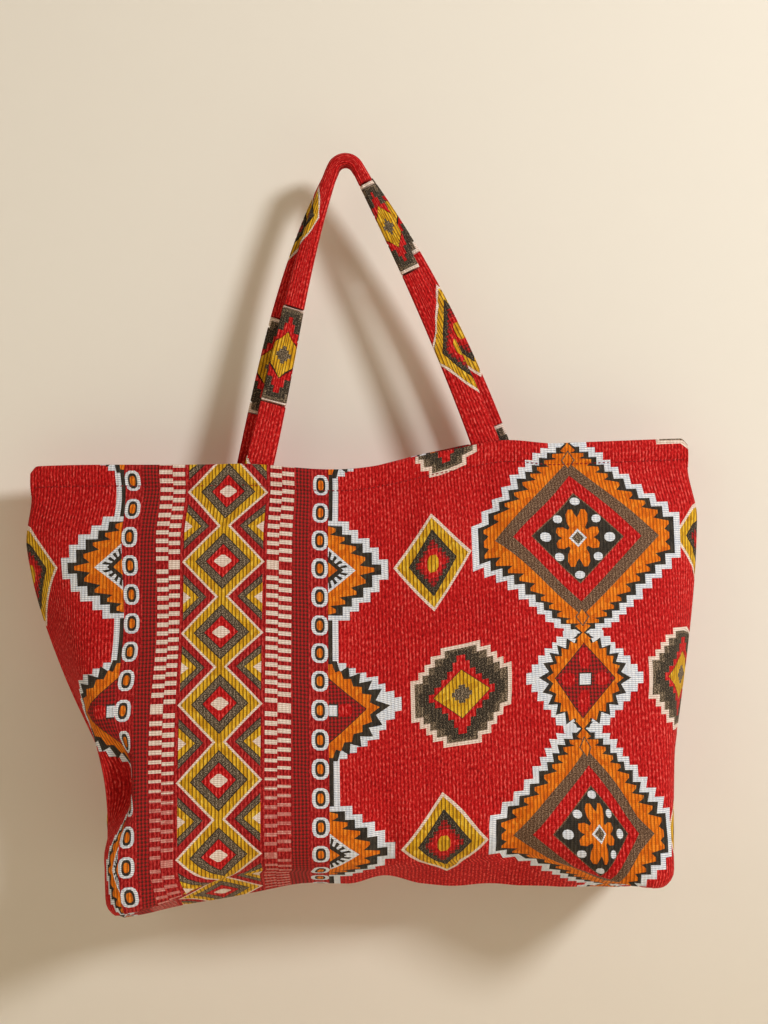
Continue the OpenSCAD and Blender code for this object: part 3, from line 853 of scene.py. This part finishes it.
# Looks
def lin(r, g, b):
    f = lambda c: (c / 255 / 12.92) if c <= 10 else ((c / 255 + 0.055) / 1.055) ** 2.4
    return (f(r), f(g), f(b), 1)


def smooth_step(tree, value, low, high, start=0, stop=1):
    k = tree.nodes.new("ShaderNodeMapRange")
    k.interpolation_type = "SMOOTHSTEP"
    k.inputs["From Min"].default_value, k.inputs["From Max"].default_value = low, high
    k.inputs["To Min"].default_value, k.inputs["To Max"].default_value = start, stop
    tree.links.new(value, k.inputs["Value"])
    return k.outputs[0]


def blend(tree, share, first, second):
    """A mix of two colours, each written as a tuple or linked from a node."""
    k = tree.nodes.new("ShaderNodeMix")
    k.data_type = "RGBA"
    tree.links.new(share, k.inputs[0])
    for socket, colour in ((k.inputs[6], first), (k.inputs[7], second)):
        if isinstance(colour, tuple):
            socket.default_value = lin(*colour)
        else:
            tree.links.new(colour, socket)
    return k.outputs[2]


def plain_material(name, colour, roughness):
    m = bpy.data.materials.new(name)
    m.use_nodes = True
    bsdf = m.node_tree.nodes["Principled BSDF"]
    bsdf.inputs["Base Color"].default_value = lin(*colour)
    bsdf.inputs["Roughness"].default_value = roughness
    return m


# Weave in metres of flat cloth: bands by axis, pitch and wander, noises by size across and along, and detail
RIB, WEFT, DASH, FLECK_LONG = 0.00315, 0.0017, 0.0034, 0.0045
BANDS = {"Rib": ("X", RIB, 1.6), "Weft": ("Y", WEFT, 1.2), "Dash": ("Y", DASH, 3)}
NOISES = {
    "Streak": (0.0013, 0.007, 2), "Grain": (0.001, 0.001, 1),
    "Patch": (0.035, 0.06, 2), "Tuft": (0.0015, 0.0032, 2),
}
BUMP_MIX = {"Rib": 0.55, "Weft": 0.25, "Grain": 0.5, "Fleck": 0.15}
BUMP_HEIGHT = 0.0012


def weave_group():
    """Ribs, weft lines, dashes and flecks, and noise for streaks, grain, patches and tufts."""
    g = bpy.data.node_groups.new("weave", "ShaderNodeTree")
    for name in (*BANDS, "Fleck", *NOISES):
        g.interface.new_socket(name=name, in_out="OUTPUT", socket_type="NodeSocketFloat")
    n, l = g.nodes, g.links
    out = n.new("NodeGroupOutput")
    uv = n.new("ShaderNodeUVMap")
    uv.uv_map = "cloth"
    for name, (axis, pitch, wander) in BANDS.items():
        w = n.new("ShaderNodeTexWave")
        w.wave_type, w.bands_direction, w.wave_profile = "BANDS", axis, "SIN"
        w.inputs["Scale"].default_value = math.pi / 10 / pitch
        w.inputs["Distortion"].default_value = wander
        w.inputs["Detail"].default_value = 1
        w.inputs["Detail Scale"].default_value = 0.35
        l.new(uv.outputs[0], w.inputs["Vector"])
        l.new(w.outputs["Fac"], out.inputs[name])

    def scaled(x, y):
        m = n.new("ShaderNodeMapping")
        m.inputs["Scale"].default_value = (1 / x, 1 / y, 1)
        l.new(uv.outputs[0], m.inputs["Vector"])
        return m.outputs[0]

    cell = n.new("ShaderNodeTexVoronoi")
    cell.voronoi_dimensions = "2D"
    cell.inputs["Scale"].default_value = 1
    cell.inputs["Randomness"].default_value = 0.9
    l.new(scaled(RIB, FLECK_LONG), cell.inputs["Vector"])
    sep = n.new("ShaderNodeSeparateColor")
    l.new(cell.outputs["Color"], sep.inputs[0])
    l.new(sep.outputs[0], out.inputs["Fleck"])
    for name, (x, y, detail) in NOISES.items():
        t = n.new("ShaderNodeTexNoise")
        t.noise_dimensions = "2D"
        t.inputs["Scale"].default_value = 1
        t.inputs["Detail"].default_value = detail
        l.new(scaled(x, y), t.inputs["Vector"])
        l.new(t.outputs["Fac"], out.inputs[name])
    return g


WEAVE = weave_group()


def yarn_material(name, stops, groove_shade, shaded_grooves, weights, bump=0.5, sheen=0.25):
    """A yarn: colour stops over a mix of the weave's parts, and a groove colour painted as shade between ribs
    and wefts.
    """
    m = bpy.data.materials.new(name)
    m.use_nodes = True
    tree = m.node_tree
    n, l = tree.nodes, tree.links
    bsdf = n["Principled BSDF"]
    w = n.new("ShaderNodeGroup")
    w.node_tree = WEAVE

    def total(parts):
        value = None
        for key, weight in parts.items():
            k = n.new("ShaderNodeMath")
            k.operation = "MULTIPLY_ADD"
            l.new(w.outputs[key], k.inputs[0])
            k.inputs[1].default_value = weight
            k.inputs[2].default_value = 0
            if value:
                l.new(value, k.inputs[2])
            value = k.outputs[0]
        return value

    ramp = n.new("ShaderNodeValToRGB")
    el = ramp.color_ramp.elements
    while len(el) < len(stops):
        el.new(0.5)
    for e, (p, c) in zip(el, stops):
        e.position, e.color = p, lin(*c)
    l.new(total(weights), ramp.inputs[0])
    colour = ramp.outputs[0]
    # Painted shade: the groove colour darkens the yarn between its ribs or wefts
    for source, depth, low, high in shaded_grooves:
        colour = blend(tree, smooth_step(tree, w.outputs[source], low, high, depth, 0), colour, groove_shade)
    l.new(colour, bsdf.inputs["Base Color"])
    rough = n.new("ShaderNodeMapRange")
    rough.inputs["To Min"].default_value, rough.inputs["To Max"].default_value = 0.95, 0.72
    l.new(w.outputs["Grain"], rough.inputs["Value"])
    l.new(rough.outputs[0], bsdf.inputs["Roughness"])
    bsdf.inputs["Specular IOR Level"].default_value = 0.2
    bsdf.inputs["Sheen Weight"].default_value = sheen
    bsdf.inputs["Sheen Roughness"].default_value = 0.4
    bsdf.inputs["Sheen Tint"].default_value = lin(*stops[-1][1])
    b = n.new("ShaderNodeBump")
    b.inputs["Strength"].default_value = bump
    b.inputs["Distance"].default_value = BUMP_HEIGHT
    l.new(total(BUMP_MIX), b.inputs["Height"])
    l.new(b.outputs[0], bsdf.inputs["Normal"])
    return m


# Grooves, with painted shade between ribs and wefts: part of the weave, depth, and where the groove starts
# and ends
RIBS = [("Rib", 0.8, 0.05, 0.4)]
SOFT_RIBS = [("Rib", 0.5, 0.0, 0.5)]
FAINT_RIBS = [("Rib", 0.3, 0.0, 0.4)]
LINES = [("Weft", 0.7, 0.05, 0.5)]
# Mixes of the weave's parts that carry the colour stops; where Rib is in a mix, it paints highlights on the
# rib crests
PLAIN = {"Fleck": 0.3, "Streak": 0.5, "Grain": 0.2}
CHENILLE = {"Rib": 0.16, "Tuft": 0.72, "Streak": 0.3, "Patch": 0.12}
SPECKLE = {"Grain": 0.95, "Fleck": 0.05}
FLECKED = {"Rib": 0.3, "Dash": 0.35, "Grain": 0.4}
# Bump and sheen of the chenille's pile
PILE = (0.6, 0.12)
RED_STOPS = [
    (0.44, (138, 2, 4)), (0.56, (172, 9, 12)), (0.66, (194, 20, 22)),
    (0.77, (214, 48, 45)), (0.88, (238, 98, 90)),
]
MADDER_STOPS = [(0.44, (118, 8, 12)), (0.62, (160, 17, 21)), (0.88, (206, 66, 62))]
FLECK_STOPS = [(0.36, (66, 42, 30)), (0.46, (148, 24, 27)), (0.8, (178, 34, 34)), (0.95, (190, 56, 50))]
YELLOW_STOPS = [(0.3, (194, 138, 18)), (0.55, (226, 174, 34)), (0.8, (246, 208, 80))]
ORANGE_STOPS = [(0.3, (204, 92, 8)), (0.55, (236, 124, 16)), (0.8, (248, 156, 50))]
GREY_STOPS = [(0.36, (46, 39, 32)), (0.5, (93, 79, 64)), (0.64, (162, 143, 120))]
DIM_STOPS = [(0.38, (38, 33, 28)), (0.54, (62, 54, 45)), (0.68, (126, 111, 92))]
DARK_STOPS = [(0.3, (42, 38, 34)), (0.8, (72, 65, 56))]
WHITE_STOPS = [(0.3, (217, 224, 236)), (0.55, (236, 240, 247)), (0.8, (248, 250, 253))]
CREAM_STOPS = [(0.3, (226, 206, 194)), (0.55, (238, 223, 212)), (0.8, (247, 237, 229))]
ROSE_STOPS = [(0.3, (190, 104, 98)), (0.55, (212, 142, 134)), (0.8, (230, 180, 170))]
BROWN_STOPS = [(0.36, (70, 48, 36)), (0.5, (108, 80, 62)), (0.64, (150, 122, 98))]
REVERSE_STOPS = [(0.3, (96, 26, 22)), (0.55, (128, 36, 30)), (0.8, (150, 62, 48))]
# Each yarn's second colour is the painted shade of its grooves
YARNS = [
    yarn_material("red_chenille", RED_STOPS, (108, 2, 6), FAINT_RIBS, CHENILLE, *PILE),
    yarn_material("madder_yarn", MADDER_STOPS, (92, 8, 12), FAINT_RIBS, CHENILLE, *PILE),
    yarn_material("flecked_red_yarn", FLECK_STOPS, (80, 24, 22), SOFT_RIBS, FLECKED),
    yarn_material("yellow_yarn", YELLOW_STOPS, (62, 42, 12), RIBS, PLAIN),
    yarn_material("orange_yarn", ORANGE_STOPS, (142, 70, 14), RIBS, PLAIN),
    yarn_material("grey_speckled_yarn", GREY_STOPS, (58, 50, 38), SOFT_RIBS, SPECKLE),
    yarn_material("dim_speckled_yarn", DIM_STOPS, (36, 31, 25), SOFT_RIBS, SPECKLE),
    yarn_material("dark_yarn", DARK_STOPS, (32, 29, 26), SOFT_RIBS, PLAIN),
    yarn_material("white_yarn", WHITE_STOPS, (132, 146, 176), LINES, PLAIN),
    yarn_material("cream_yarn", CREAM_STOPS, (184, 146, 132), LINES, PLAIN),
    yarn_material("rose_yarn", ROSE_STOPS, (160, 60, 58), LINES, PLAIN),
    yarn_material("brown_speckled_yarn", BROWN_STOPS, (72, 52, 40), SOFT_RIBS, SPECKLE),
    yarn_material("cloth_reverse", REVERSE_STOPS, (70, 26, 22), LINES, PLAIN),
]

# The cloth pieces: how far the back strap's pattern is shifted along and across
BACK_STRAP_SHIFT, BACK_STRAP_SLIDE = -10, 3
pattern = [(yarn, np.array(p, float)) for yarn, p in kilim()]
front = make_panel("bag_front", -1, [(yarn, settle(dense(p))) for yarn, p in pattern], YARNS)
back = make_panel("bag_back", 1, [(yarn, turned(dense(p))) for yarn, p in pattern], YARNS)
handle_f = make_handle("handle_front", -1, strap_shapes(0, 0), YARNS)
handle_b = make_handle("handle_back", 1, strap_shapes(BACK_STRAP_SHIFT, BACK_STRAP_SLIDE), YARNS)

# Hem stitches, set into the cloth: along each, its places, depths into the cloth and radii
THREAD = (150, 20, 22)
STITCH_PITCH, STITCH_UP, STITCH_SIDES = 4.2, 1.6, 6
STITCH_FROM, STITCH_TO = -HALF_W + 5, HALF_W - 4
ALONG = np.array([-1.35, -0.7, 0.0, 0.7, 1.35])
DEPTHS = np.array([0.5, 0.0, -0.12, 0.0, 0.5])
RADII = np.array([0.16, 0.4, 0.45, 0.4, 0.16])


def make_stitches(name, side):
    pts, faces = [], []
    for middle in np.arange(STITCH_FROM, STITCH_TO, STITCH_PITCH):
        u = middle + ALONG
        v = np.full_like(u, HEM_H - STITCH_UP)
        base = len(pts)
        for p, k, d, r in zip(panel_point(side, u, v), panel_inward(side, u, v), DEPTHS, RADII):
            for a in range(STITCH_SIDES):
                t = 2 * math.pi * a / STITCH_SIDES
                pts.append(p + k * (d + r * math.cos(t)) + np.array([0, 0, r * math.sin(t)]))
        for j in range(len(ALONG) - 1):
            row, later = base + STITCH_SIDES * j, base + STITCH_SIDES * (j + 1)
            for a in range(STITCH_SIDES):
                b = (a + 1) % STITCH_SIDES
                q = [row + a, row + b, later + b, later + a]
                faces.append(q if side < 0 else q[::-1])
    mesh = smooth_mesh(name, np.array(pts), faces)
    mesh.materials.append(plain_material(name, THREAD, 0.7))
    mesh.update()
    return link(name, mesh)


stitch_f = make_stitches("hem_stitches_front", -1)
stitch_b = make_stitches("hem_stitches_back", 1)

# Attach the panels, their stitches and the handles to the root, and hide the parts of model.glb they replace
panels = ((front, "front_panel", stitch_f, handle_f), (back, "back_panel", stitch_b, handle_b))
for obj, node, thread, other in panels:
    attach(obj, "root")
    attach(thread, "root")
    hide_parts(node)
for obj, node in ((handle_f, "front_handle"), (handle_b, "back_handle")):
    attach(obj, "root")
    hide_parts(node)

# Stage: a wall behind the bag with painted shade towards the floor, seen from the front only, and a pale
# floor well below
scene = bpy.context.scene
scene.view_settings.view_transform = "Standard"
WALL_Y, WALL_HALF, WALL_TOP, FLOOR_Z, FLOOR_HALF = 0.054, 3, 3, -1.1, 4
# The wall's low colour is painted shade, blended in towards the floor
WALL_COLOUR, WALL_SHADE_LOW, WALL_ASIDE, FLOOR = (238, 235, 228), (225, 218, 206), (186, 182, 174), (238, 230, 214)
LOW_FROM, LOW_TO, ASIDE_FROM, ASIDE_TO = -0.9, -0.4, 0.4, 1.4


def plane(name, corners, colour):
    mesh = bpy.data.meshes.new(name)
    mesh.from_pydata(corners, [], [(0, 1, 2, 3)])
    m = plain_material(name, colour, 0.9)
    m.node_tree.nodes["Principled BSDF"].inputs["Specular IOR Level"].default_value = 0.1
    mesh.materials.append(m)
    obj = link(name, mesh)
    return m.node_tree


def painted_wall_shade(tree):
    """Painted shade that darkens the wall a little towards the floor; the wall is also darker far to the
    right.
    """
    place, split = tree.nodes.new("ShaderNodeTexCoord"), tree.nodes.new("ShaderNodeSeparateXYZ")
    tree.links.new(place.outputs["Object"], split.inputs[0])
    colour = blend(tree, smooth_step(tree, split.outputs["Z"], LOW_FROM, LOW_TO), WALL_SHADE_LOW, WALL_COLOUR)
    colour = blend(tree, smooth_step(tree, split.outputs["X"], ASIDE_FROM, ASIDE_TO), colour, WALL_ASIDE)
    tree.links.new(colour, tree.nodes["Principled BSDF"].inputs["Base Color"])


def one_sided(tree):
    """A wall that is clear from behind and lets the rear lamp through."""
    n, l = tree.nodes, tree.links
    clear, mixer = n.new("ShaderNodeBsdfTransparent"), n.new("ShaderNodeMixShader")
    geo, path = n.new("ShaderNodeNewGeometry"), n.new("ShaderNodeLightPath")
    either = n.new("ShaderNodeMath")
    either.operation = "MAXIMUM"
    l.new(geo.outputs["Backfacing"], either.inputs[0])
    l.new(path.outputs["Is Shadow Ray"], either.inputs[1])
    l.new(either.outputs[0], mixer.inputs[0])
    l.new(n["Principled BSDF"].outputs[0], mixer.inputs[1])
    l.new(clear.outputs[0], mixer.inputs[2])
    l.new(mixer.outputs[0], n["Material Output"].inputs[0])


wall_corners = [(x, WALL_Y, z) for x, z in box(-WALL_HALF, FLOOR_Z, WALL_HALF, WALL_TOP)]
floor_corners = [(x, y, FLOOR_Z) for x, y in box(-FLOOR_HALF, -FLOOR_HALF, FLOOR_HALF, FLOOR_HALF)]
wall = plane("backdrop", wall_corners, WALL_COLOUR)
painted_wall_shade(wall)
one_sided(wall)
plane("floor", floor_corners, FLOOR)

AIR, AIR_LEVEL = (252, 225, 182), 0.3
world = bpy.data.worlds.new("studio")
scene.world = world
world.use_nodes = True
world.node_tree.nodes["Background"].inputs[0].default_value = lin(*AIR)
world.node_tree.nodes["Background"].inputs[1].default_value = AIR_LEVEL

# Lamps: name, place, aim, size, power and colour
LAMPS = [
    ("key", (1.75, -1.9, 0.75), (0, 0, -0.35), 0.55, 50, (1, 0.985, 0.96)),
    ("fill", (-1.6, -2.2, 0.3), (0, 0, -0.4), 1.8, 5, (1, 0.93, 0.82)),
    ("rear", (-0.6, 2.4, 0.8), (0, 0, -0.4), 1.6, 26, (1, 0.97, 0.94)),
]
for name, place, aim, size, power, colour in LAMPS:
    light = bpy.data.lights.new(name, "AREA")
    light.shape, light.size, light.energy = "DISK", size, power
    light.color = colour
    lamp = link(name, light)
    lamp.location = place
    lamp.rotation_euler = (Vector(aim) - Vector(place)).to_track_quat("-Z", "Y").to_euler()

# Camera, level and facing the bag
EYE, LENS, SENSOR = (0.0353, -1.670, -0.3162), 64.03, 36
camera = bpy.data.cameras.new("camera")
camera.sensor_width = SENSOR
camera.lens = LENS
eye = link("camera", camera)
eye.location = EYE
eye.rotation_euler = (math.pi / 2, 0, 0)
scene.camera = eye
